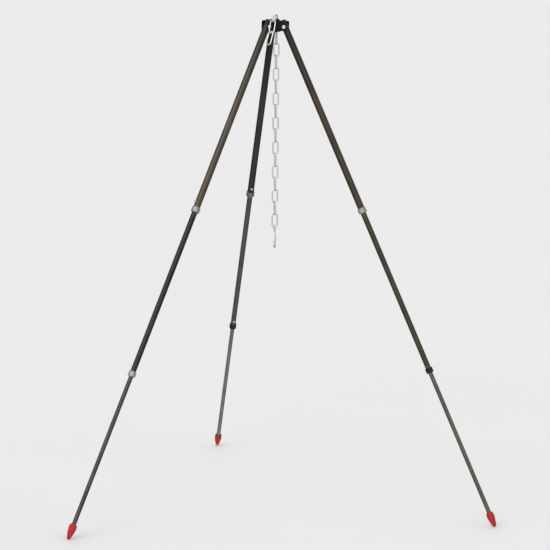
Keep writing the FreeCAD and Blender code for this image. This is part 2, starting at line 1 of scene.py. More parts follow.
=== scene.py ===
# A campfire tripod: three telescoping legs hinged in a head of black plates, with a
# chain hanging from the head and a pot hook on it. +Z is up, the feet stand near the
# floor and the camera looks from -Y, slightly to -X. Joint places come in metres; the
# sizes of the pieces are in millimetres. Each leg has its own frame: origin at its
# hinge, Z up along the tubes, Y along the hinge axis.
import json
import math
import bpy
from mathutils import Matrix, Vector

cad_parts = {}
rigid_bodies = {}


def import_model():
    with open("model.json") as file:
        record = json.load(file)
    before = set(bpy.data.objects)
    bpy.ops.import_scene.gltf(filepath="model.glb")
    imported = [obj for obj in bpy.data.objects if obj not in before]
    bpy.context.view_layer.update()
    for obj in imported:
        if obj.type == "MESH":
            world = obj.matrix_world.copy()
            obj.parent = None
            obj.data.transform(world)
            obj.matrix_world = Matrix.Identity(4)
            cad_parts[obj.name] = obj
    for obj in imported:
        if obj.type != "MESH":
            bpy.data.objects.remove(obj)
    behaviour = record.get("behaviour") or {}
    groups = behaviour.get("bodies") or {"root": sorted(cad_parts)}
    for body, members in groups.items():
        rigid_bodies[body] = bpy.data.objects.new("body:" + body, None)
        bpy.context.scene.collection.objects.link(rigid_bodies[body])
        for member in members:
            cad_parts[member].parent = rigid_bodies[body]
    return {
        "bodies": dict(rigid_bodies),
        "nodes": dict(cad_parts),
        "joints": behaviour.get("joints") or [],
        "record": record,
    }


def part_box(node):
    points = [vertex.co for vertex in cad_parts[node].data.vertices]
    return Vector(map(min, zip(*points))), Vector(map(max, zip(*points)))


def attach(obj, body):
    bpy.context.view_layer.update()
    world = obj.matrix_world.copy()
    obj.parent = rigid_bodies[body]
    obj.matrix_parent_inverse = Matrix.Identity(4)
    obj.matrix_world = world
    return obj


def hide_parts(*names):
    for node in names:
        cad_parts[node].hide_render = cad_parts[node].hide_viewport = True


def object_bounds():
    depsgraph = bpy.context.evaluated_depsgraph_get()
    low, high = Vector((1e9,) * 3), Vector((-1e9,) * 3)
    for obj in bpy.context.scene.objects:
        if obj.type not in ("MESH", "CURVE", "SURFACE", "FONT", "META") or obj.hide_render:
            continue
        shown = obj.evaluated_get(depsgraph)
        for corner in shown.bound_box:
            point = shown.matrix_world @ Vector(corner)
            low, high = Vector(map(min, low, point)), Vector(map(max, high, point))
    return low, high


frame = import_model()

from types import SimpleNamespace

import bmesh
import bpy
from mathutils import Matrix, Vector, noise

cad_low, cad_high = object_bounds()
nodes = frame["nodes"]
joints = {joint["name"]: joint for joint in frame["joints"]}
scene = bpy.context.scene
MM = 0.001
Z_AXIS = Vector((0, 0, 1))

# --------------------------------------------------- driving dimensions, mm
FIT = 0.02  # gap between parts that sit on or in a tube
HOLE_GAP = 0.1  # a hole's radius over that of the pin in it
RIVET_SHANK = 3.0  # radius

# top and end are heights along the leg from the hinge
TUBES = {
    "upper": SimpleNamespace(outer=8.0, bore=6.6, top=15.0, end=-474.0, body="leg"),
    "middle": SimpleNamespace(outer=6.5, bore=5.1, top=-407.0, end=-883.0, body="middle"),
    "lower": SimpleNamespace(outer=5.0, bore=3.8, top=-821.0, end=-1266.0, body="lower"),
}
UPPER, MIDDLE, LOWER = TUBES.values()

COLLAR_RISE = 4.0  # collar centre above its tube's end
COLLARS = {
    "upper": SimpleNamespace(tube=UPPER, at=UPPER.end + COLLAR_RISE, outer=10.0),
    "lower": SimpleNamespace(tube=MIDDLE, at=MIDDLE.end + COLLAR_RISE, outer=8.8),
}

BUTTON_RISE = 22.0  # button axis above the end of the tube it locks
# base and tip are distances from the leg's axis
BUTTONS = {
    "upper": SimpleNamespace(at=UPPER.end + BUTTON_RISE, radius=3.0, base=3.6, tip=10.6),
    "lower": SimpleNamespace(at=MIDDLE.end + BUTTON_RISE, radius=2.7, base=2.4, tip=9.1),
}


# ------------------------------------------------------------------ places
def joint_place(name):
    return Vector(joints[name]["pos_m"])


def joint_axis(name):
    return Vector(joints[name]["axis"]).normalized()


def basis(x_axis, y_axis, z_axis, origin):
    matrix = Matrix((x_axis, y_axis, z_axis)).transposed().to_4x4()
    matrix.translation = origin
    return matrix


def leg_place(number, name):
    """A leg's frame, and the direction its buttons face."""
    pivot = joint_place(f"{name}_leg_fold")
    turn = joint_axis(f"{name}_leg_fold")
    up = joint_axis(f"{name}_middle_slide")
    out = turn.cross(up).normalized()
    press = -joint_axis(f"{name}_upper_button_press")
    return SimpleNamespace(
        number=number, name=name, pivot=pivot, turn=turn, up=up, press=press,
        frame=basis(out, turn, up, pivot),
        button_angle=math.atan2(press.dot(turn), press.dot(out)),
    )


LEGS = [leg_place(number, name) for number, name in enumerate(("left", "right", "back"))]


# ------------------------------------------------------------ mesh helpers
def add_object(name, data):
    ob = bpy.data.objects.new(name, data)
    scene.collection.objects.link(ob)
    return ob


def piece(name, mesh, body, slot, replaced, material, sharp=40):
    """A finished object from (verts, faces); edges over `sharp` degrees stay crisp."""
    verts, faces = mesh
    me = bpy.data.meshes.new(name)
    me.from_pydata([tuple(v) for v in verts], [], faces)
    bm = bmesh.new()
    bm.from_mesh(me)
    bmesh.ops.remove_doubles(bm, verts=bm.verts, dist=1e-7)
    bmesh.ops.recalc_face_normals(bm, faces=bm.faces)
    bm.to_mesh(me)
    bm.free()
    me.materials.append(material)
    me.polygons.foreach_set("use_smooth", [True] * len(me.polygons))
    me.set_sharp_from_angle(angle=math.radians(sharp))
    me.update()
    ob = add_object(name, me)
    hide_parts(replaced)
    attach(ob, body)
    return ob


def polar(radius, angle, z):
    """A local point in metres from millimetres about Z."""
    return Vector((radius * MM * math.cos(angle), radius * MM * math.sin(angle), z * MM))


def band(first, second, flip=False):
    """Quads between two closed loops of vertex numbers."""
    faces = []
    for k in range(len(first)):
        after = (k + 1) % len(first)
        quad = (first[k], first[after], second[after], second[k])
        faces.append(quad[::-1] if flip else quad)
    return faces


def rounded(stations, steps=4):
    """A profile of (r, z) with its inner corners eased; stations are (r, z, corner size)."""
    out = []
    for i, (r, z, size) in enumerate(stations):
        if size <= 0 or i in (0, len(stations) - 1):
            out.append((r, z))
            continue
        before, corner, after = (Vector((*s[:2], 0)) for s in stations[i - 1:i + 2])
        back, ahead = before - corner, after - corner
        cut = min(size, back.length * 0.49, ahead.length * 0.49)
        start = corner + back.normalized() * cut
        end = corner + ahead.normalized() * cut
        for k in range(steps + 1):
            t = k / steps
            q = start * (1 - t) ** 2 + corner * 2 * t * (1 - t) + end * t * t
            out.append((q.x, q.y))
    return out


def lathe(profile, matrix, segs, closed=False, shape=None):
    """A profile (mm) turned about local Z. shape(r, z, angle) may change r."""
    verts, rings, faces = [], [], []
    for r, z in profile:
        start = len(verts)
        if r < 1e-6:
            verts.append(matrix @ polar(0, 0, z))
        else:
            for k in range(segs):
                angle = 2 * math.pi * k / segs
                radius = shape(r, z, angle) if shape else r
                verts.append(matrix @ polar(radius, angle, z))
        rings.append(list(range(start, len(verts))))
    pairs = list(zip(rings, rings[1:])) + ([(rings[-1], rings[0])] if closed else [])
    for a, b in pairs:
        if len(a) == 1:
            faces += [(a[0], b[(k + 1) % segs], b[k]) for k in range(segs)]
        elif len(b) == 1:
            faces += [(a[k], a[(k + 1) % segs], b[0]) for k in range(segs)]
        else:
            faces += band(a, b)
    return verts, faces


def sweep(path, radius, segs, start, closed):
    """Round wire along points in metres. radius(i, angle) is in metres too; start is
    the direction of angle 0 at the first point."""
    count = len(path)
    verts, rings, faces = [], [], []
    side = start
    for i in range(count):
        if closed:
            along = path[(i + 1) % count] - path[i - 1]
        else:
            along = path[min(i + 1, count - 1)] - path[max(i - 1, 0)]
        along = along.normalized()
        if i == 0:
            side = (side - along * side.dot(along)).normalized()
        side = (side - along * side.dot(along)).normalized()
        other = along.cross(side)
        rings.append(list(range(len(verts), len(verts) + segs)))
        for k in range(segs):
            angle = 2 * math.pi * k / segs
            reach = radius(i, angle)
            verts.append(path[i] + (side * math.cos(angle) + other * math.sin(angle)) * reach)
    for i in range(count if closed else count - 1):
        faces += band(rings[i], rings[(i + 1) % count])
    if not closed:
        faces += [tuple(reversed(rings[0])), tuple(rings[-1])]
    return verts, faces


def joined(parts):
    verts, faces = [], []
    for part_verts, part_faces in parts:
        offset = len(verts)
        verts += part_verts
        faces += [tuple(i + offset for i in face) for face in part_faces]
    return verts, faces


# ------------------------------------------------------------ node helpers
def tint(colour, gain):
    return [min(1, c * gain) for c in colour]


class Graph:
    """Short calls for building a node tree."""

    def __init__(self, tree):
        self.tree = tree
        self.tree.nodes.clear()

    def new(self, kind):
        return self.tree.nodes.new("ShaderNode" + kind)

    def put(self, socket, value):
        if isinstance(value, bpy.types.NodeSocket):
            self.tree.links.new(value, socket)
        elif socket.type == "RGBA":
            socket.default_value = (*value[:3], 1)
        else:
            socket.default_value = value

    def math(self, op, a, b=None, clamp=False):
        n = self.new("Math")
        n.operation, n.use_clamp = op, clamp
        self.put(n.inputs[0], a)
        if b is not None:
            self.put(n.inputs[1], b)
        return n.outputs[0]

    def plus(self, a, b, clamp=False):
        return self.math("ADD", a, b, clamp)

    def times(self, a, b, clamp=False):
        return self.math("MULTIPLY", a, b, clamp)

    def dot(self, a, b):
        n = self.new("VectorMath")
        n.operation = "DOT_PRODUCT"
        self.put(n.inputs[0], a)
        self.put(n.inputs[1], b)
        return n.outputs["Value"]


class Surface(Graph):
    """A Principled material in object coordinates (metres)."""

    def __init__(self, name):
        self.material = bpy.data.materials.new(name)
        self.material.use_nodes = True
        super().__init__(self.material.node_tree)
        output = self.new("OutputMaterial")
        self.bsdf = self.new("BsdfPrincipled")
        self.put(output.inputs["Surface"], self.bsdf.outputs["BSDF"])
        self.coords = self.new("TexCoord").outputs["Object"]

    def finish(self, **inputs):
        """Fills in the shader's inputs and returns the material."""
        for name, value in inputs.items():
            self.put(self.bsdf.inputs[name.replace("_", " ")], value)
        return self.material

    def mapped(self, vec, **inputs):
        n = self.new("Mapping")
        for name, value in inputs.items():
            n.inputs[name].default_value = value
        self.put(n.inputs["Vector"], vec)
        return n.outputs[0]

    def local(self, matrix):
        """Coordinates in a piece's own frame; the second mapping holds its scale."""
        inv = matrix.inverted()
        turn = inv.to_3x3().to_euler("XYZ")
        placed = self.mapped(self.coords, Location=inv.translation, Rotation=turn)
        return self.mapped(placed, Scale=(1, 1, 1))

    def noise(self, vec, scale, detail=4.0, rough=0.55):
        n = self.new("TexNoise")
        self.put(n.inputs["Vector"], vec)
        n.inputs["Scale"].default_value = scale
        n.inputs["Detail"].default_value = detail
        n.inputs["Roughness"].default_value = rough
        return n.outputs[0]

    def cells(self, vec, scale, out="Distance"):
        n = self.new("TexVoronoi")
        self.put(n.inputs["Vector"], vec)
        n.inputs["Scale"].default_value = scale
        return n.outputs[out]

    def ramp(self, fac, stops):
        """stops are (position, colour)."""
        n = self.new("ValToRGB")
        self.put(n.inputs[0], fac)
        elements = n.color_ramp.elements
        while len(elements) < len(stops):
            elements.new(0.5)
        for element, (position, colour) in zip(elements, stops):
            element.position = position
            element.color = (*colour, 1)
        return n.outputs[0]

    def tones(self, fac, base, stops):
        """Shades of one colour; stops are (position, gain on the colour)."""
        return self.ramp(fac, [(position, tint(base, gain)) for position, gain in stops])

    def span(self, value, over, to=(0.0, 1.0)):
        """The range `over` stretched onto the range `to`, held at both ends."""
        n = self.new("MapRange")
        n.clamp = True
        self.put(n.inputs["Value"], value)
        n.inputs["From Min"].default_value, n.inputs["From Max"].default_value = over
        n.inputs["To Min"].default_value, n.inputs["To Max"].default_value = to
        return n.outputs["Result"]

    def varied(self, fac, mean, less, more):
        """A value that drifts about a mean with a noise."""
        return self.span(fac, over=(0.3, 0.7), to=(mean - less, mean + more))

    def mix(self, fac, a, b):
        n = self.new("Mix")
        n.data_type = "RGBA"
        self.put(n.inputs[0], fac)
        self.put(n.inputs[6], a)
        self.put(n.inputs[7], b)
        return n.outputs[2]

    def bump(self, height, depth, strength, over=None):
        """Relief of a depth in metres, laid over another relief if one is given."""
        n = self.new("Bump")
        self.put(n.inputs["Height"], height)
        n.inputs["Distance"].default_value = depth
        n.inputs["Strength"].default_value = strength
        if over is not None:
            self.put(n.inputs["Normal"], over)
        return n.outputs[0]

    def axis(self, vec, name):
        n = self.new("SeparateXYZ")
        self.put(n.inputs[0], vec)
        return n.outputs[name]

    def facing(self, over):
        """0 where the surface looks at the viewer, 1 towards its outline."""
        n = self.new("LayerWeight")
        n.inputs["Blend"].default_value = 0.5
        return self.span(n.outputs["Facing"], over=over)

    def edge(self, radius, over):
        """1 along sharp edges, 0 on the flats."""
        bevel = self.new("Bevel")
        bevel.samples = 4
        bevel.inputs["Radius"].default_value = radius
        geometry = self.new("NewGeometry")
        same = self.dot(bevel.outputs[0], geometry.outputs["Normal"])
        return self.span(self.math("SUBTRACT", 1.0, same), over=over)

    def chips(self, vec, scale, size, patch_scale, patch):
        """Small round spots, in patches only."""
        spots = self.span(self.cells(vec, scale), over=size)
        return self.times(spots, self.span(self.noise(vec, patch_scale, 3), over=patch))


# --------------------------------------------------------------- materials
def tube_paint(name, frame, dark, light, rough, rings, scratching, seed):
    """Coating on drawn tube: orange peel, draw lines, slide scratches and rubbed rings.
    rings are (height, half width) in mm; seed shifts the pattern."""
    t = Surface(name)
    local = t.local(frame)
    z = t.axis(local, "Z")
    shifted = t.mapped(local, Location=(seed, seed * 0.7, seed * 1.3))
    drawn = t.mapped(shifted, Scale=(1, 1, 0.012))
    cloud = t.noise(shifted, scale=22, detail=5, rough=0.6)
    streak = t.noise(drawn, scale=900, detail=3, rough=0.6)
    fine = t.noise(drawn, scale=2600, detail=2, rough=0.5)
    peel = t.noise(shifted, scale=1500, detail=2, rough=0.45)
    tone = t.plus(t.times(cloud, 0.6), t.times(streak, 0.4))
    middle = [(a + b) / 2 for a, b in zip(dark, light)]
    base = t.ramp(tone, [(0.36, dark), (0.50, middle), (0.66, light)])
    # thin bright lines along the tube, patchy
    lines = t.span(fine, over=(0.66, 0.74))
    blotches = t.noise(t.mapped(shifted, Scale=(1, 1, 0.25)), scale=38, detail=3, rough=0.6)
    patch = t.span(blotches, over=(0.48, 0.66))
    scratch = t.times(t.times(lines, patch), scratching, clamp=True)
    # rings rubbed by the neighbouring parts
    rub = None
    for at, half in rings:
        away = t.math("ABSOLUTE", t.math("SUBTRACT", z, at * MM))
        ring = t.span(away, over=(half * MM, half * 0.3 * MM))
        grain = t.noise(t.mapped(shifted, Scale=(1, 1, 0.10)), scale=900, detail=4, rough=0.7)
        ring = t.times(ring, t.span(grain, over=(0.54, 0.64)))
        rub = ring if rub is None else t.math("MAXIMUM", rub, ring)
    worn = t.math("MAXIMUM", scratch, t.times(rub, 0.55))
    chips = t.chips(shifted, scale=420, size=(0.07, 0.03), patch_scale=60, patch=(0.56, 0.66))
    worn = t.math("MAXIMUM", worn, t.times(chips, 0.75))
    bare_steel, dust_grey = (0.36, 0.34, 0.31), (0.16, 0.15, 0.135)
    dust = t.span(t.noise(shifted, scale=90, detail=6, rough=0.7), over=(0.52, 0.8))
    base = t.mix(t.times(dust, 0.10), base, dust_grey)
    # the coating darkens towards the head
    near_head = t.span(z, over=(-0.20, -0.03))
    head_darkening = t.times(near_head, t.span(cloud, over=(0.25, 0.55), to=(0.55, 0.75)))
    base = t.mix(head_darkening, base, tint(dark, 0.45))
    # painted shade: the coating is darkened towards the tube's outline as seen from the viewer,
    # and its specular is lowered with it
    rim = t.facing(over=(0.30, 0.85))
    base = t.mix(t.times(rim, 0.62), base, tint(dark, 0.12))
    return t.finish(
        Base_Color=t.mix(worn, base, bare_steel),
        Metallic=t.plus(0.38, t.times(worn, 0.55), clamp=True),
        Specular_IOR_Level=t.math("SUBTRACT", 0.34, t.times(rim, 0.24)),
        Roughness=t.plus(
            t.varied(cloud, mean=rough, less=0.05, more=0.07), t.times(worn, -0.08)
        ),
        Normal=t.bump(
            peel, depth=4e-5, strength=0.5, over=t.bump(streak, depth=3e-5, strength=0.35)
        ),
    )


def zinc(name, base, rough, dull):
    """Bright plate: spangle patches, pits, dull spots, and painted shade towards the outline."""
    t = Surface(name)
    v = t.coords
    spangle = t.cells(v, scale=520, out="Color")
    tone = t.noise(v, scale=260, detail=5, rough=0.65)
    pit = t.span(t.cells(v, scale=2400), over=(0.16, 0.05))
    spot = t.span(t.noise(v, scale=120, detail=4, rough=0.6), over=(0.54, 0.72))
    sheen = t.axis(spangle, "X")
    spot_grey, pit_grey = (0.48, 0.475, 0.46), (0.30, 0.29, 0.27)
    colour = t.tones(tone, base, [(0.3, 0.86), (0.6, 1), (0.8, 1.06)])
    colour = t.mix(t.times(spot, dull), colour, spot_grey)
    colour = t.mix(t.times(pit, 0.35), colour, pit_grey)
    # painted shade: the plate darkens towards its outline as seen from the viewer
    colour = t.mix(t.times(t.facing(over=(0.38, 0.88)), 0.75), colour, tint(base, 0.24))
    polish = t.span(sheen, over=(0, 1), to=(rough - 0.05, rough + 0.08))
    grain = t.noise(v, scale=1800, detail=3, rough=0.6)
    return t.finish(
        Base_Color=colour,
        Metallic=1.0,
        Roughness=t.plus(polish, t.times(spot, 0.16)),
        Normal=t.bump(grain, depth=3e-5, strength=0.45),
    )


def turned_steel(name, frame, base):
    """Steel: fine rings about the local axis, dull patches, brighter edges."""
    t = Surface(name)
    local = t.local(frame)
    squeezed = t.mapped(local, Scale=(0.02, 0.02, 1))
    rings = t.noise(squeezed, scale=5200, detail=3, rough=0.6)
    tone = t.noise(local, scale=240, detail=5, rough=0.6)
    spot = t.span(t.noise(local, scale=95, detail=5, rough=0.65), over=(0.5, 0.72))
    colour = t.tones(tone, base, [(0.3, 0.80), (0.55, 1), (0.78, 1.15)])
    colour = t.mix(t.times(spot, 0.35), colour, tint(base, 0.62))
    edge = t.edge(radius=0.0005, over=(0.02, 0.25))
    colour = t.mix(t.times(edge, 0.5), colour, tint(base, 1.45))
    return t.finish(
        Base_Color=colour,
        Metallic=0.72,
        Roughness=t.varied(rings, mean=0.50, less=0.06, more=0.10),
        Normal=t.bump(
            rings, depth=5e-5, strength=0.45, over=t.bump(tone, depth=6e-5, strength=0.3)
        ),
    )


def black_coat(name, base, rough):
    """Satin black coating: orange peel, rubbed bright edges, small chips."""
    t = Surface(name)
    v = t.coords
    peel = t.noise(v, scale=1300, detail=2, rough=0.5)
    cloud = t.noise(v, scale=110, detail=5, rough=0.6)
    edge = t.edge(radius=0.0007, over=(0.03, 0.30))
    broken = t.span(t.noise(v, scale=420, detail=5, rough=0.75), over=(0.46, 0.66))
    edge = t.times(edge, broken)
    chips = t.chips(v, scale=700, size=(0.10, 0.04), patch_scale=80, patch=(0.56, 0.68))
    worn = t.math("MAXIMUM", t.times(edge, 0.75), t.times(chips, 0.7))
    colour = t.tones(cloud, base, [(0.32, 0.7), (0.6, 1), (0.8, 1.9)])
    bare_steel = (0.30, 0.285, 0.265)
    return t.finish(
        Base_Color=t.mix(worn, colour, bare_steel),
        Metallic=t.times(worn, 0.8),
        Roughness=t.varied(cloud, mean=rough, less=0.05, more=0.09),
        Specular_IOR_Level=0.14,
        Normal=t.bump(peel, depth=5e-5, strength=0.5),
    )


def red_rubber(name, frame):
    """Moulded red foot: glossy flanks, scuffed and dirty towards the nose."""
    t = Surface(name)
    local = t.local(frame)
    z = t.axis(local, "Z")
    grain = t.noise(local, scale=2100, detail=3, rough=0.55)
    cloud = t.noise(local, scale=130, detail=5, rough=0.62)
    flow = t.noise(t.mapped(local, Scale=(1, 1, 0.35)), scale=420, detail=4, rough=0.6)
    reds = [(0.30, (0.24, 0.008, 0.010)), (0.50, (0.45, 0.015, 0.018)),
            (0.72, (0.58, 0.034, 0.026))]
    dirt_red, scuff_red = (0.20, 0.055, 0.035), (0.20, 0.035, 0.028)
    # painted shade colour for the well round the tube
    well_shade_black = (0.028, 0.016, 0.012)
    colour = t.ramp(t.plus(t.times(cloud, 0.6), t.times(flow, 0.4)), reds)
    nose = t.span(z, over=(-1.268, -1.282))
    scuffing = t.noise(local, scale=520, detail=6, rough=0.75)
    scuff = t.times(nose, t.span(scuffing, over=(0.44, 0.64)))
    dirt = t.span(t.noise(local, scale=260, detail=5, rough=0.7), over=(0.56, 0.75))
    colour = t.mix(t.times(dirt, 0.25), colour, dirt_red)
    colour = t.mix(t.times(scuff, 0.55), colour, scuff_red)
    # painted shade: the well round the tube is painted dark where shade falls in it
    x_squared = t.math("POWER", t.axis(local, "X"), 2)
    y_squared = t.math("POWER", t.axis(local, "Y"), 2)
    radius = t.math("SQRT", t.plus(x_squared, y_squared))
    well = t.span(radius, over=(0.0074, 0.0062))
    painted_well_shade = t.times(well, t.span(z, over=(-1.247, -1.2445)))
    colour = t.mix(t.times(painted_well_shade, 0.85), colour, well_shade_black)
    return t.finish(
        Base_Color=colour,
        Roughness=t.plus(
            t.span(cloud, over=(0.3, 0.7), to=(0.33, 0.46)), t.times(scuff, 0.25)
        ),
        Specular_IOR_Level=0.34,
        Normal=t.bump(
            grain, depth=5e-5, strength=0.4, over=t.bump(flow, depth=1.6e-4, strength=0.35)
        ),
    )


def plastic(name, base, rough):
    t = Surface(name)
    cloud = t.noise(t.coords, scale=190, detail=5, rough=0.6)
    grain_scale = 2600
    return t.finish(
        Base_Color=t.tones(cloud, base, [(0.3, 0.75), (0.6, 1), (0.8, 1.25)]),
        Roughness=t.varied(cloud, mean=rough, less=0.07, more=0.08),
        Normal=t.bump(
            t.noise(t.coords, grain_scale, detail=2, rough=0.5), depth=4e-5, strength=0.5
        ),
    )


HEAD = black_coat("head_black_mat", base=(0.0105, 0.0088, 0.0080), rough=0.50)
CHAIN = zinc("zinc_chain_mat", base=(0.76, 0.75, 0.725), rough=0.26, dull=0.35)
HOOK = zinc("zinc_hook_mat", base=(0.80, 0.775, 0.735), rough=0.28, dull=0.35)
RIVET = zinc("rivet_mat", base=(0.76, 0.75, 0.73), rough=0.26, dull=0.3)
PIN = zinc("button_mat", base=(0.72, 0.72, 0.71), rough=0.18, dull=0.25)
SPRING = zinc("spring_mat", base=(0.34, 0.34, 0.36), rough=0.34, dull=0.5)
PLUG = plastic("plug_grey_mat", base=(0.085, 0.086, 0.084), rough=0.48)
BLACK_COLLAR = black_coat("collar_black_mat", base=(0.020, 0.019, 0.018), rough=0.38)

# ------------------------------------------------------------------- tubes
TUBE_SEGS = 64
COLUMN = 2 * math.pi / TUBE_SEGS  # angle between columns of wall vertices
LIP = 0.35  # height of the rounded ends
ROW_GAP = 20.0  # between plain rows of wall vertices
HOLE_EDGE = 0.22  # soft edge round a hole
HOLE_STEPS = 4  # rings from a patch's border to its hole
SLACK = 1e-3  # tolerance when matching rows to a patch


def hole_patch(angle, z, radius, bore):
    """The block of wall that gives way to one hole, on the nearest grid column."""
    need = math.asin(min(0.98, radius / bore)) + 0.10
    column = round(angle / COLUMN)
    return SimpleNamespace(
        column=column, reach=math.ceil(need / COLUMN), shift=angle - column * COLUMN,
        z=z, radius=radius, half=radius * 1.7,
    )


def tube_rows(tube, patches):
    """Heights of the wall rows from the top: both lips, the patches, and plain rows."""
    rows = {round(tube.top - LIP, 4), round(tube.end + LIP, 4)}
    for p in patches:
        for j in range(-p.reach, p.reach + 1):
            rows.add(round(p.z + p.half * j / p.reach, 4))
    z = tube.top - LIP - ROW_GAP
    while z > tube.end + LIP + ROW_GAP * 0.4:
        if all(abs(z - p.z) > p.half + 2 for p in patches):
            rows.add(round(z, 4))
        z -= ROW_GAP
    return sorted(rows, reverse=True)


def patch_loop(patch, rows):
    """(column offset, row) round a patch, clockwise from its top seen from outside."""
    hit = [i for i, z in enumerate(rows) if abs(z - patch.z) <= patch.half + SLACK]
    reach = patch.reach
    loop = [(d, hit[0]) for d in range(reach)]
    loop += [(reach, row) for row in hit[:-1]]
    loop += [(d, hit[-1]) for d in range(reach, -reach, -1)]
    loop += [(-reach, row) for row in hit[:0:-1]]
    return loop + [(d, hit[0]) for d in range(-reach, 0)]


def tube_mesh(tube, holes, matrix):
    """A tube along local Z with round side holes given as (angle, z, radius)."""
    patches = [hole_patch(*hole, tube.bore) for hole in holes]
    rows = tube_rows(tube, patches)
    verts, faces, grid = [], [], {}
    walls = (("outer", tube.outer), ("bore", tube.bore))

    def add(radius, angle, z):
        verts.append(matrix @ polar(radius, angle, z))
        return len(verts) - 1

    def offset(p, column):
        return (column - p.column + TUBE_SEGS // 2) % TUBE_SEGS - TUBE_SEGS // 2

    def vertex_inside(p, column, row):
        return abs(offset(p, column)) < p.reach and abs(rows[row] - p.z) < p.half - SLACK

    def quad_inside(p, column, row):
        return (
            -p.reach <= offset(p, column) < p.reach
            and rows[row] <= p.z + p.half + SLACK
            and rows[row + 1] >= p.z - p.half - SLACK
        )

    def hole_ring(p, loop, wall, surface, radius, blend):
        """A ring at radius `surface`, from the patch's border (blend 0) to a circle (1)."""
        ring = []
        for d, row in loop:
            across, rise = d * COLUMN, rows[row] - p.z
            angle = math.atan2(across * wall, rise)
            sine = max(-1, min(1, radius * math.sin(angle) / surface))
            round_across = math.asin(sine) + p.shift
            across = across * (1 - blend) + round_across * blend
            rise = rise * (1 - blend) + radius * math.cos(angle) * blend
            ring.append(add(surface, p.column * COLUMN + across, p.z + rise))
        return ring

    for wall, radius in walls:
        for row, z in enumerate(rows):
            for column in range(TUBE_SEGS):
                if not any(vertex_inside(p, column, row) for p in patches):
                    grid[wall, row, column] = add(radius, column * COLUMN, z)
        for row in range(len(rows) - 1):
            for column in range(TUBE_SEGS):
                if any(quad_inside(p, column, row) for p in patches):
                    continue
                after = (column + 1) % TUBE_SEGS
                quad = (grid[wall, row, column], grid[wall, row, after],
                        grid[wall, row + 1, after], grid[wall, row + 1, column])
                faces.append(quad[::-1] if wall == "outer" else quad)

    for p in patches:
        loop = patch_loop(p, rows)
        rims = []
        for wall, radius in walls:
            outside = wall == "outer"
            ring = [grid[wall, row, (p.column + d) % TUBE_SEGS] for d, row in loop]
            for step in range(1, HOLE_STEPS + 1):
                widened = HOLE_EDGE if outside and step == HOLE_STEPS else 0.0
                blend = (step / HOLE_STEPS) ** 0.8
                inner = hole_ring(p, loop, radius, radius, p.radius + widened, blend)
                faces += band(ring, inner, flip=outside)
                ring = inner
            if outside:
                inner = hole_ring(p, loop, radius, radius - HOLE_EDGE, p.radius, 1)
                faces += band(ring, inner, flip=True)
                ring = inner
            rims.append(ring)
        faces += band(*rims)

    # rounded lips over the wall's two ends
    lip_width = min(LIP, (tube.outer - tube.bore) / 2 * 0.45)
    for row, end, sign in ((0, tube.top, 1), (len(rows) - 1, tube.end, -1)):
        rings = [[grid["outer", row, c] for c in range(TUBE_SEGS)]]
        for side, inward, steps in ((tube.outer, -1, (1, 2, 3)), (tube.bore, 1, (2, 1))):
            for k in steps:
                angle = k / 3 * math.pi / 2
                radius = side + inward * lip_width * (1 - math.cos(angle))
                z = end - sign * LIP * (1 - math.sin(angle))
                rings.append([add(radius, c * COLUMN, z) for c in range(TUBE_SEGS)])
        rings.append([grid["bore", row, c] for c in range(TUBE_SEGS)])
        for ring, following in zip(rings, rings[1:]):
            faces += band(ring, following, flip=sign < 0)
    return verts, faces


# (dark, light) coating colours of each tube
PAINT = {
    "left": {
        "upper": ((0.043, 0.035, 0.0255), (0.106, 0.086, 0.063)),
        "middle": ((0.012, 0.0095, 0.008), (0.034, 0.027, 0.022)),
        "lower": ((0.036, 0.031, 0.026), (0.082, 0.072, 0.060)),
    },
    "right": {
        "upper": ((0.028, 0.021, 0.014), (0.074, 0.057, 0.038)),
        "middle": ((0.028, 0.022, 0.015), (0.070, 0.055, 0.037)),
        "lower": ((0.066, 0.059, 0.045), (0.142, 0.127, 0.099)),
    },
    "back": {
        "upper": ((0.017, 0.0145, 0.0115), (0.048, 0.041, 0.033)),
        "middle": ((0.050, 0.043, 0.036), (0.112, 0.097, 0.080)),
        "lower": ((0.120, 0.109, 0.091), (0.245, 0.224, 0.190)),
    },
}
# rubbed rings as (height, half width): above a tube's own collar, below the next one up
UPPER_COLLAR, LOWER_COLLAR = COLLARS["upper"].at, COLLARS["lower"].at
FINISH = {
    "upper": dict(rough=0.31, scratching=0.35, rings=[(UPPER_COLLAR + 7, 6)]),
    "middle": dict(
        rough=0.30, scratching=0.55, rings=[(UPPER_COLLAR - 10, 7), (LOWER_COLLAR + 7, 6)]
    ),
    "lower": dict(rough=0.32, scratching=0.6, rings=[(LOWER_COLLAR - 10, 7), (-1238, 6)]),
}
SEED_STEP = {"upper": 0.0, "middle": 0.5, "lower": 1.1}
TUBE_SLOT = {"upper": "tube_bronze", "middle": "tube_black", "lower": "tube_grey"}


def build_tubes(leg):
    button_holes = {
        which: (leg.button_angle, button.at, button.radius + HOLE_GAP)
        for which, button in BUTTONS.items()
    }
    pivot_radius = RIVET_SHANK + HOLE_GAP
    pivot_holes = [(math.pi / 2, 0, pivot_radius), (-math.pi / 2, 0, pivot_radius)]
    holes = {
        "upper": [*pivot_holes, button_holes["upper"]],
        "middle": list(button_holes.values()),
        "lower": [button_holes["lower"]],
    }
    for which, tube in TUBES.items():
        name = f"{leg.name}_{which}"
        dark, light = PAINT[leg.name][which]
        seed = 1.7 * leg.number + SEED_STEP[which]
        paint = tube_paint(f"{name}_paint", leg.frame, dark, light, seed=seed, **FINISH[which])
        piece(
            f"{name}_tube_skin", tube_mesh(tube, holes[which], leg.frame),
            f"{leg.name}_{tube.body}", TUBE_SLOT[which], f"{name}_tube", paint,
        )


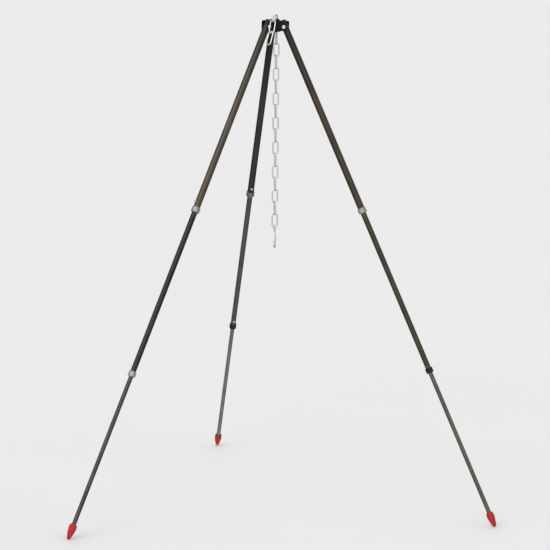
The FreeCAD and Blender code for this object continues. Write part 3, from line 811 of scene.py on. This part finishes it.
# ------------------------------------------------------- fittings on a leg
def collar_profile(collar):
    """A bead with a raised band between two grooves, and a step under the tube's end."""
    at, wide = collar.at, collar.outer
    seat, bore = collar.tube.outer + FIT, collar.tube.bore + FIT
    return rounded([
        (seat, at + 6.3, 0), (seat + 0.9, at + 6.3, 0.5), (wide - 0.35, at + 6.05, 0.6),
        (wide - 0.06, at + 5.2, 0.4), (wide - 0.06, at + 4.5, 0.12),
        (wide - 0.28, at + 4.25, 0.12), (wide - 0.04, at + 4.0, 0.12),
        (wide, at + 1.6, 1.0), (wide, at - 1.6, 1.0),
        (wide - 0.04, at - 4.0, 0.12), (wide - 0.28, at - 4.25, 0.12),
        (wide - 0.06, at - 4.5, 0.12), (wide - 0.06, at - 5.2, 0.4),
        (wide - 0.35, at - 6.05, 0.6), (seat + 0.2, at - 6.3, 0.4),
        (bore + 0.1, at - 6.3, 0.1), (bore, at - 6.1, 0.1), (bore, at - 4.7, 0),
        (seat, at - 4.7, 0),
    ])


def build_collars(leg):
    steel = (0.185, 0.18, 0.16) if leg.name == "back" else (0.405, 0.372, 0.345)
    for which, collar in COLLARS.items():
        name = f"{leg.name}_{which}_collar"
        if which == "lower" and leg.name != "left":
            slot, material = "collar_black", BLACK_COLLAR
        else:
            slot, material = "collar_steel", turned_steel(f"{name}_mat", leg.frame, steel)
        mesh = lathe(collar_profile(collar), leg.frame, segs=72, closed=True)
        body = f"{leg.name}_{collar.tube.body}"
        piece(f"{name}_bead", mesh, body, slot, name, material, sharp=50)


def build_buttons(leg):
    """Snap buttons: plated pins with a domed nose."""
    dome = 1.75  # height
    inset = 0.02  # the pin's flank inside its nominal radius
    for which, button in BUTTONS.items():
        origin = leg.pivot + leg.up * button.at * MM
        matrix = basis(leg.up, leg.press.cross(leg.up), leg.press, origin)
        radius, base, tip = button.radius, button.base, button.tip
        profile = [(0, base), (radius - 0.25, base), (radius - inset, base + 0.3),
                   (radius - inset, tip - 2.0)]
        for k in range(8):
            angle = k / 8 * math.pi / 2
            r = radius * math.cos(angle) - inset * (1 - k / 8)
            profile.append((r, tip - dome + dome * math.sin(angle)))
        profile.append((0, tip))
        name = f"{leg.name}_{which}"
        piece(
            f"{name}_button_pin", lathe(profile, matrix, segs=48),
            f"{name}_snap", "button_steel", f"{name}_button", PIN,
        )


def build_plug(leg):
    """Domed cap in the top of the leg, with a small dimple in the middle."""
    stem, seat = UPPER.bore - FIT, UPPER.top + FIT
    profile = rounded([
        (0, 7.0, 0), (stem, 7.0, 0.3), (stem, seat, 0), (7.9, seat, 0.12), (7.9, 15.75, 0.4),
        (6.6, 16.75, 0.8), (4.4, 17.35, 1.0), (1.5, 17.6, 0.12), (1.3, 17.35, 0.1),
        (0, 17.3, 0),
    ])
    piece(
        f"{leg.name}_top_plug_cap", lathe(profile, leg.frame, segs=64),
        f"{leg.name}_leg", "plug_grey", f"{leg.name}_top_plug", PLUG,
    )


FOOT_SOCKET_RADIUS, FOOT_SOCKET_FLOOR = LOWER.outer + FIT, LOWER.end - FIT
FOOT_RIM = (6.9, -1244.25)  # where socket and outside meet
# (r, z, corner size)
FOOT_SOCKET = [
    (0, FOOT_SOCKET_FLOOR, 0), (FOOT_SOCKET_RADIUS, FOOT_SOCKET_FLOOR, 0),
    (FOOT_SOCKET_RADIUS, -1250.5, 0), (5.3, -1250.4, 0.1), (6.5, -1249.7, 0.4),
    (6.9, -1248.9, 0.4), (*FOOT_RIM, 0),
]
FOOT_OUTSIDE = [
    (*FOOT_RIM, 0), (7.05, -1244.0, 0.3), (7.75, -1244.0, 0.4), (8.15, -1244.6, 0.8),
    (8.55, -1247.0, 1.5), (8.95, -1249.6, 1.5), (9.08, -1252.0, 1.5), (8.92, -1255.0, 2),
    (8.45, -1259.0, 2), (7.65, -1263.5, 2), (6.65, -1268.0, 2), (5.6, -1272.3, 2),
    (4.6, -1275.6, 1.5), (3.6, -1277.7, 1.0), (2.4, -1279.1, 1.0), (1.2, -1279.8, 0.6),
    (0, -1280.0, 0),
]
FACETS = 9


def build_foot(leg):
    """Bullet with soft facets that die out towards rim and nose."""

    def facet(r, z, angle):
        if r < 5.6 and z > -1262:  # the socket's wall stays round
            return r
        below_rim = max(0.0, min(1.0, (-z - 1247.0) / 7.0))
        fade = below_rim * max(0.0, min(1.0, (1279.0 + z) / 7.0))
        phase = (angle * FACETS / (2 * math.pi) + 0.37 * leg.number) % 1.0
        flat = math.cos((phase - 0.5) * 2 * math.pi / FACETS) / math.cos(math.pi / FACETS)
        soft = 1 - (1 - math.cos(2 * math.pi * phase)) * 0.5 * 0.018
        return r * (1 + fade * (min(1.0, 0.5 * flat + 0.5 * soft) - 1))

    profile = rounded(FOOT_SOCKET, steps=3)[:-1] + rounded(FOOT_OUTSIDE)
    piece(
        f"{leg.name}_foot_rubber", lathe(profile, leg.frame, segs=90, shape=facet),
        f"{leg.name}_lower", "foot_red", f"{leg.name}_foot_cap",
        red_rubber(f"{leg.name}_foot_red", leg.frame), sharp=50,
    )


# -------------------------------------------------------------------- head
def dress_plates():
    """Coats the hub plates and eases their edges."""
    for name in ("hub_plate_front", "hub_plate_left", "hub_plate_right"):
        ob = nodes[name]
        ob.data.materials.clear()
        ob.data.materials.append(HEAD)
        weld = ob.modifiers.new("join", "WELD")
        weld.merge_threshold = 0.000002
        dissolve = ob.modifiers.new("flat", "DECIMATE")
        dissolve.decimate_type = "DISSOLVE"
        dissolve.angle_limit = math.radians(0.4)
        bevel = ob.modifiers.new("edge", "BEVEL")
        bevel.width, bevel.segments = 0.00038, 3
        bevel.limit_method, bevel.angle_limit = "ANGLE", math.radians(40)
        bevel.use_clamp_overlap = True
        bevel.harden_normals = True


def build_rivets():
    """One per hinge: the end rolled over at -Z of its frame, a domed head at +Z."""
    face = 10.8  # hinge centre to the seat of each head
    profile = rounded([
        (0, -face - 0.75, 0), (1.55, -face - 0.75, 0.3), (1.95, -face - 1.2, 0.3),
        (2.3, -face - 1.85, 0.4), (3.0, -face - 2.0, 0.7), (3.9, -face - 1.62, 0.7),
        (4.6, -face - 0.8, 0.6), (4.88, -face - 0.05, 0.08),
        (RIVET_SHANK, -face - 0.04, 0), (RIVET_SHANK, face + 0.04, 0),
        (5.28, face + 0.05, 0.15), (5.28, face + 0.5, 0.4), (4.9, face + 1.25, 0.8),
        (3.85, face + 2.05, 1.0), (2.2, face + 2.58, 1.2), (0, face + 2.7, 0),
    ])
    parts = []
    for leg in LEGS:
        matrix = basis(Z_AXIS, leg.turn.cross(Z_AXIS), leg.turn, leg.pivot)
        parts.append(lathe(profile, matrix, segs=56))
    piece("pivot_rivets_set", joined(parts), "hub", "rivet_steel", "pivot_rivets", RIVET)


# ------------------------------------------------------------------- chain
LINK_WIRE = 1.6  # wire radius
LINK_BEND = 6.05  # centreline radius of a link's ends
LINK_INSIDE = 29.1  # inside length
LINK_HALF = (LINK_INSIDE + 2 * LINK_WIRE) / 2 - LINK_BEND  # half a straight side
ARC_POINTS, SIDE_POINTS = 22, 14


def rot_about(axis, degrees):
    return Matrix.Rotation(math.radians(degrees), 3, Vector(axis))


# the chain and hook hang a little off plumb
LEAN = rot_about((-0.211, -0.977, 0), 1.2)


def link_outline():
    """(x, z) round a link's centreline, anticlockwise from the start of the top bend."""
    def arc(start, z):
        angles = [start + math.pi * k / ARC_POINTS for k in range(ARC_POINTS)]
        return [(LINK_BEND * math.cos(a), z + LINK_BEND * math.sin(a)) for a in angles]

    rises = [2 * LINK_HALF * k / SIDE_POINTS for k in range(SIDE_POINTS)]
    return (
        arc(0, LINK_HALF) + [(-LINK_BEND, LINK_HALF - rise) for rise in rises]
        + arc(math.pi, -LINK_HALF) + [(LINK_BEND, -LINK_HALF + rise) for rise in rises]
    )


def build_link(node, body, turn, seed):
    low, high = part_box(node)
    centre = (low + high) / 2
    outline = link_outline()

    def radius(i, angle):
        x, z = outline[i]
        around, across = math.cos(angle), math.sin(angle)
        r = LINK_WIRE
        if x > LINK_BEND - 1e-6:  # the butt weld halfway up one side
            t = z / 2.1
            if abs(t) < 1.6:
                lump = noise.noise(Vector((around * 2, across * 2, z * 0.9 + seed)))
                r += 0.17 * math.exp(-(t * 1.35) ** 2) * (1 + 0.35 * lump)
        if abs(x) > LINK_BEND - 1e-6:  # light forming marks on the sides
            r += 0.02 * noise.noise(Vector((around + seed, across, z * 0.35)))
        return r * MM

    path = [centre + turn @ Vector((x * MM, 0, z * MM)) for x, z in outline]
    mesh = sweep(path, radius, segs=24, start=turn @ Vector((0, 1, 0)), closed=True)
    piece(f"{node}_wire", mesh, body, "zinc_chain", node, CHAIN, sharp=60)


def hanging(fall, degrees):
    """Turned about Z, then tipped from straight down to the direction of fall."""
    down, fall = Vector((0, 0, -1)), Vector(fall).normalized()
    tip = Matrix.Rotation(down.angle(fall), 3, down.cross(fall))
    return tip @ rot_about(Z_AXIS, degrees)


def build_chain():
    heading = -122  # degrees about Z, the way the seat link lies
    angle = math.radians(heading)
    out = Vector((math.cos(angle), math.sin(angle), 0))
    flat = rot_about(Z_AXIS, heading) @ rot_about((0, 1, 0), 90)
    build_link("chain_seat_link", "hub", rot_about(out.cross(Z_AXIS), -12) @ flat, seed=0.3)
    for k in range(1, 18):
        name = f"chain_link_{k:02d}"
        turn = LEAN @ rot_about(Z_AXIS, 0 if k % 2 else 90)
        build_link(name, name, turn, seed=k * 1.37)
    first_turn = hanging((-0.217, -0.357, -1), 10.0)
    second_turn = hanging((-0.270, -0.131, -1), -48.0)
    build_link("chain_tail_link_1", "chain_tail_1", first_turn, seed=31.1)
    build_link("chain_tail_link_2", "chain_tail_2", second_turn, seed=37.9)


# -------------------------------------------------------------------- hook
EYE_RADIUS, BOWL_RADIUS = 4.9, 9.0  # centrelines
SHANK_LENGTH = 34.1  # eye's bottom to the bowl's centre height
SHANK_OFFSET = 8.9  # shank to -Y of the eye's centre
TIP_RISE, TIP_FLARE = 6.0, 1.2  # the tip's height and its lean to +Y
HOOK_WIRE = 1.7  # wire radius
EYE_ABOVE_JOINT = 3.4  # eye's top over the swing joint
NECK_DROP = 12.0  # height of the bend between eye and shank
NOSE_STEPS = 6


def hook_stem():
    """(y, z) points from the eye's bottom down the shank, round the bowl to the tip."""
    eye_low = -2 * EYE_RADIUS
    bowl_z = eye_low - SHANK_LENGTH
    shank_y, shank_top = -SHANK_OFFSET, eye_low - NECK_DROP
    neck = [Vector(p) for p in (
        (0, 0, eye_low), (0, -1.0, eye_low - 5.0),
        (0, shank_y, eye_low - 4.5), (0, shank_y, shank_top),
    )]
    stem = []
    for k in range(20):
        t = k / 20
        stem.append(
            neck[0] * (1 - t) ** 3 + neck[1] * 3 * t * (1 - t) ** 2
            + neck[2] * 3 * t * t * (1 - t) + neck[3] * t ** 3
        )
    for k in range(14):
        stem.append(Vector((0, shank_y, shank_top + (bowl_z - shank_top) * k / 14)))
    for k in range(40):
        angle = math.pi * k / 40
        y = shank_y + BOWL_RADIUS - BOWL_RADIUS * math.cos(angle)
        stem.append(Vector((0, y, bowl_z - BOWL_RADIUS * math.sin(angle))))
    rise_y = shank_y + 2 * BOWL_RADIUS
    for k in range(9):
        stem.append(Vector((0, rise_y + TIP_FLARE * k / 8, bowl_z + TIP_RISE * k / 8)))
    for k in range(1, NOSE_STEPS):
        reach = HOOK_WIRE * math.sin(k / NOSE_STEPS * math.pi / 2)
        y = rise_y + TIP_FLARE + 0.13 * reach
        stem.append(Vector((0, y, bowl_z + TIP_RISE + 0.96 * reach)))
    return stem


def build_hook():
    """One bent wire: a closed eye, shank, bowl and blunt tip, fused by a remesh."""
    origin = joint_place("hook_swing") + LEAN @ Vector((0, 0, EYE_ABOVE_JOINT * MM))
    eye = []
    for k in range(72):
        a = 2 * math.pi * k / 72
        eye.append(Vector((0, EYE_RADIUS * math.sin(a), -EYE_RADIUS - EYE_RADIUS * math.cos(a))))
    stem = hook_stem()

    def eye_radius(i, angle):
        return HOOK_WIRE * MM

    def stem_radius(i, angle):
        k = max(0, i - len(stem) + NOSE_STEPS)  # steps into the rounded nose
        return HOOK_WIRE * math.cos(k / NOSE_STEPS * math.pi / 2) * MM

    wires = []
    for points, radius, closed in ((eye, eye_radius, True), (stem, stem_radius, False)):
        path = [origin + LEAN @ p * MM for p in points]
        wires.append(sweep(path, radius, segs=28, start=Vector((1, 0, 0)), closed=closed))
    hook = piece("pot_hook_wire", joined(wires), "hook", "zinc_hook", "pot_hook", HOOK, sharp=80)
    bpy.context.view_layer.objects.active = hook
    hook.select_set(True)
    hook.data.remesh_voxel_size = 0.00028
    hook.data.use_remesh_fix_poles = False
    bpy.ops.object.voxel_remesh()
    ease = hook.modifiers.new("ease", "SMOOTH")
    ease.factor, ease.iterations = 0.5, 6
    bpy.ops.object.modifier_apply(modifier=ease.name)
    hook.select_set(False)
    hook.data.materials.clear()
    hook.data.materials.append(HOOK)
    hook.data.polygons.foreach_set("use_smooth", [True] * len(hook.data.polygons))


def dress_springs():
    for name, ob in nodes.items():
        if name.endswith("_spring") and not ob.hide_render:
            ob.data.materials.clear()
            ob.data.materials.append(SPRING)


# ------------------------------------------------------------------ studio
def build_floor():
    """A wide disc just under the feet, unseen in reflections."""
    radii = (3.0, 12.0, 60.0, 260.0)  # metres
    segs = 96
    verts, faces = [(0, 0, 0)], []
    for r in radii:
        for k in range(segs):
            angle = 2 * math.pi * k / segs
            verts.append((r * math.cos(angle), r * math.sin(angle), 0))
    for k in range(segs):
        faces.append((0, 1 + k, 1 + (k + 1) % segs))
    for j in range(len(radii) - 1):
        for k in range(segs):
            a, b = 1 + j * segs + k, 1 + j * segs + (k + 1) % segs
            faces.append((a, a + segs, b + segs, b))
    mesh = bpy.data.meshes.new("studio_floor")
    mesh.from_pydata(verts, [], faces)
    floor = add_object("studio_floor", mesh)
    floor.location = (0, 0, cad_low.z - 0.0002)
    t = Surface("studio_floor_mat")
    greys = [(0.35, (0.816, 0.816, 0.816)), (0.65, (0.824, 0.824, 0.824))]
    colour = t.ramp(t.noise(t.coords, scale=1.2, detail=3, rough=0.5), greys)
    mesh.materials.append(
        t.finish(Base_Color=colour, Roughness=1.0, Specular_IOR_Level=0.0)
    )
    floor.visible_glossy = False


# round soft glows seen in reflections: direction, inner and outer angle, strength
GLOWS = [
    ((-0.30, -0.95, 0.22), 18, 52, 1.05),  # camera side
    ((-1.6, 0.2, 0.6), 10, 34, 0.45),  # -X side
    ((0.1, 0.2, 1), 14, 52, 0.55),  # overhead
    ((1.0, 1.5, 0.8), 12, 46, 0.40),  # far side, to +X
    ((-0.1, -0.5, -1), 20, 66, 0.55),  # from below
]
AMBIENT_REFLECTED = 0.30
AMBIENT_DIFFUSE = 0.66
BACKDROP = 0.84


def build_world():
    world = bpy.data.worlds.new("studio")
    scene.world = world
    world.use_nodes = True
    g = Graph(world.node_tree)
    output = g.new("OutputWorld")
    background = g.new("Background")
    g.put(output.inputs[0], background.outputs[0])
    light_path = g.new("LightPath")
    direction = g.new("TexCoord").outputs["Generated"]

    def soft_box(toward, inner, outer, gain):
        dot = g.dot(direction, Vector(toward).normalized())
        n = g.new("MapRange")
        n.interpolation_type = "SMOOTHSTEP"
        g.put(n.inputs["Value"], dot)
        n.inputs["From Min"].default_value = math.cos(math.radians(outer))
        n.inputs["From Max"].default_value = math.cos(math.radians(inner))
        n.inputs["To Max"].default_value = gain
        return n.outputs["Result"]

    def choose(ray, otherwise, value):
        """One value for a kind of ray, another for the rest."""
        n = g.new("Mix")
        n.data_type = "FLOAT"
        g.put(n.inputs[0], light_path.outputs[ray])
        g.put(n.inputs[2], otherwise)
        g.put(n.inputs[3], value)
        return n.outputs[0]

    glow = soft_box(*GLOWS[0])
    for entry in GLOWS[1:]:
        glow = g.plus(glow, soft_box(*entry))
    glow = g.plus(glow, AMBIENT_REFLECTED)
    light = choose("Is Glossy Ray", otherwise=AMBIENT_DIFFUSE, value=glow)
    strength = choose("Is Camera Ray", otherwise=light, value=BACKDROP)
    g.put(background.inputs["Color"], (1.0, 1.0, 1.0))
    g.put(background.inputs["Strength"], strength)


def sun(name, toward, strength, degrees):
    """A soft sun shining from the direction `toward`."""
    lamp = bpy.data.lights.new(name, "SUN")
    lamp.energy, lamp.angle = strength, math.radians(degrees)
    ob = add_object(name, lamp)
    ob.rotation_mode = "QUATERNION"
    ob.rotation_quaternion = Vector(toward).to_track_quat("Z", "Y")
    ob.location = Vector(toward).normalized() * 6


def build_camera():
    azimuth, elevation = math.radians(-102.20), math.radians(8.549)
    distance, roll = 4.8575, 0.0297  # metres, radians
    target = Vector((0, 0, 0.5586))
    back = Vector((
        math.cos(elevation) * math.cos(azimuth),
        math.cos(elevation) * math.sin(azimuth),
        math.sin(elevation),
    ))
    right = Z_AXIS.cross(back).normalized()
    up = back.cross(right).normalized()
    rolled_right = right * math.cos(roll) + up * math.sin(roll)
    rolled_up = -right * math.sin(roll) + up * math.cos(roll)
    data = bpy.data.cameras.new("camera")
    data.sensor_width = 36.0
    data.lens = 132.06109091
    data.shift_x = 0.01390909091
    data.clip_start, data.clip_end = 0.1, 400
    camera = add_object("camera", data)
    camera.rotation_mode = "QUATERNION"
    turn = Matrix((rolled_right, rolled_up, back)).transposed()
    camera.rotation_quaternion = turn.to_quaternion()
    camera.location = target + back * distance
    scene.camera = camera
    scene.view_settings.view_transform = "Standard"


# ------------------------------------------------------------------- build
for leg in LEGS:
    build_tubes(leg)
    build_collars(leg)
    build_buttons(leg)
    build_plug(leg)
    build_foot(leg)
dress_plates()
build_rivets()
build_chain()
build_hook()
dress_springs()

build_floor()
build_world()
sun("key_soft", toward=(-1.3, -1.3, 1.5), strength=1.05, degrees=50)
sun("fill_soft", toward=(1.5, -1.0, 1.0), strength=0.42, degrees=60)
sun("back_soft", toward=(0.4, 1.7, 1.2), strength=0.45, degrees=60)
build_camera()
